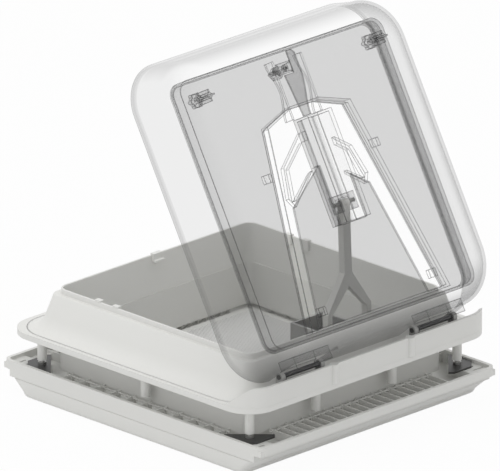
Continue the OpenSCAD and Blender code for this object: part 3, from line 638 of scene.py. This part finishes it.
# The smoke is denser down the sides and densest by the hinges: painted reflection that darkens the walls
# against the roof
DENSE_FROM, DENSE_RUN, ROOF_EDGE, ROOF_RUN, SIDE_SHARE = -0.125, 0.030, 0.004, 0.022, 0.36
hinge_side = np.clip((DENSE_FROM - shell[..., 1]) / DENSE_RUN, 0.0, 1.0)
below_roof = np.clip((DOME_TOP - ROOF_EDGE - shell[..., 2]) / ROOF_RUN, 0.0, 1.0)
sides = below_roof * (SIDE_SHARE + (1.0 - SIDE_SHARE) * hinge_side)
side_mask = outer.data.attributes.new("sides", "FLOAT", "POINT")
side_mask.data.foreach_set("value", sides.ravel().astype(np.float32))
outer.data.materials.append(dome_clear)
thick = outer.modifiers.new("wall", "SOLIDIFY")
thick.thickness = DOME_WALL
thick.offset = -1.0
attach(outer, "dome")
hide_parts("outer_dome")


# Inner pane. A second skin of smoked acrylic inside the dome, formed from sheet with low upright
# sides. A soft grey seal under its edge comes down on the collar's ledge when the dome closes.
pane_tint = clear_acrylic("smoked_pane", (0.05, 0.05, 0.05), 0.19, 0.44)
dress(pane_tint, "inner_pane")
seal_grey = clear_acrylic("seal_grey", (0.10, 0.10, 0.10), 0.12, 0.35, rough=0.5, edge=0.6)
dress(seal_grey, "pane_seal")


# Opener pocket and rail. A raised pocket moulded in clear plastic over two open strips of the pane,
# with grip loops for the hands and, along its middle, the rail in which the arm's slider runs. The
# spacers between pane and dome and the hinge knuckles are thicker mouldings of the same plastic.
pocket_clear = clear_acrylic("clear_pocket", (0.04, 0.04, 0.04), 0.004, 0.40)
dress(pocket_clear, "opener_pocket", "grip_loop_left", "grip_loop_right")
dress(pocket_clear, "pocket_clips", "latch_channel")
block_clear = clear_acrylic("clear_block", (0.03, 0.03, 0.03), 0.12, 0.60, edge=0.97)
dress(block_clear, "spacer_bosses", "spacer_caps", "hinge_knuckle_left", "hinge_knuckle_right")
strip_grey = clear_acrylic("grey_strip", (0.08, 0.08, 0.08), 0.26, 0.45, rough=0.2)
# The flat strip from the grips to the latch. Its right edge follows a soft step, 3 t^2 - 2 t^3, and
# past STRIP_LATCH it is narrow, runs on beside the latch and tapers towards the pane's edge.
STRIP_LOW, STRIP_T, STRIP_FROM, STRIP_LATCH, STRIP_TO = 0.0256, 0.002, 0.2361, 0.2810, 0.3042
STRIP_LEFT, STRIP_RIGHT, LEFT_STEP, RIGHT_STEP, BESIDE_LATCH = 0.0040, 0.0140, 0.0050, 0.0080, 0.0118
PAST_LATCH, TAPER_FROM, TAPER_MIDDLE, TAPER = 0.0001, 0.3000, 0.3030, 0.8
strip_y = np.concatenate([
    np.linspace(STRIP_FROM, STRIP_LATCH, 16),
    [STRIP_LATCH + PAST_LATCH, TAPER_FROM, TAPER_MIDDLE, STRIP_TO],
])
step = np.clip((strip_y - STRIP_FROM) / (STRIP_LATCH - STRIP_FROM), 0.0, 1.0)
taper = TAPER * np.maximum(strip_y - TAPER_FROM, 0.0)
strip_right = STRIP_RIGHT + RIGHT_STEP * (3 * step**2 - 2 * step**3) - taper
strip_left = np.where(strip_y > STRIP_LATCH, BESIDE_LATCH, STRIP_LEFT - LEFT_STEP * step)
low, high = np.full_like(strip_y, STRIP_LOW), np.full_like(strip_y, STRIP_LOW + STRIP_T)
strip_grid = np.stack([
    np.column_stack([strip_left, strip_y, low]),
    np.column_stack([strip_left, strip_y, high]),
    np.column_stack([strip_right, strip_y, high]),
    np.column_stack([strip_right, strip_y, low]),
], axis=1)
strip_end = 4 * (len(strip_y) - 1)
strip_ends = [[0, 1, 2, 3], [strip_end + 3, strip_end + 2, strip_end + 1, strip_end]]
strip = mesh_piece(
    "strip",
    on_dome(strip_grid),
    grid_faces(len(strip_y), 4)[:, ::-1].tolist() + strip_ends,
    smooth=False,
)
strip.data.materials.append(strip_grey)
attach(strip, "dome")
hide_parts("latch_strip")
rail_clear = clear_acrylic("rail_clear", (0.06, 0.06, 0.06), 0.04, 0.30, rough=0.15)
# The grey of the strip runs on along the rail's left half, and the other half is clearer
RAIL_GREY_TO, RAIL_CLEAR_FROM, RAIL_GREY, RAIL_CLEAR = 0.0095, 0.0100, 0.14, 0.02
tree = rail_clear.node_tree
rail_at = tree.nodes.new("ShaderNodeTexCoord")
rail_axes = tree.nodes.new("ShaderNodeSeparateXYZ")
tree.links.new(rail_at.outputs["Object"], rail_axes.inputs[0])
rail_side = tree.nodes.new("ShaderNodeMapRange")
rail_side.inputs["From Min"].default_value = RAIL_GREY_TO
rail_side.inputs["From Max"].default_value = RAIL_CLEAR_FROM
rail_side.inputs["To Min"].default_value = RAIL_GREY
rail_side.inputs["To Max"].default_value = RAIL_CLEAR
tree.links.new(rail_axes.outputs["X"], rail_side.inputs["Value"])
tree.links.new(rail_side.outputs["Result"], tree.nodes["density"].inputs["To Min"])
dress(rail_clear, "opener_rail")


# Latch, stay arm and slider. A clear hook turns in its base at the pane's free edge. The arm is a
# moulded fork of the frame's white plastic, coloured greyer as painted shade for where it sits under
# the pane, on the housing's pin, and the steel pin through its head carries the clear block that runs in
# the rail.
dress(block_clear, "latch_base", "latch_hook")
# Painted shade: a greyer copy of the frame's white plastic, for the arm in the shade under the pane
arm_shaded_white = moulded_plastic("arm_white_painted_shade", (0.66, 0.66, 0.635), (0.40, 0.40, 0.385))
dress(arm_shaded_white, "stay_arm")
slider_clear = clear_acrylic("slider_clear", (0.16, 0.16, 0.16), 0.18, 0.45, rough=0.2)
dress(slider_clear, "rail_slider")
dress(bright_steel, "head_pin")
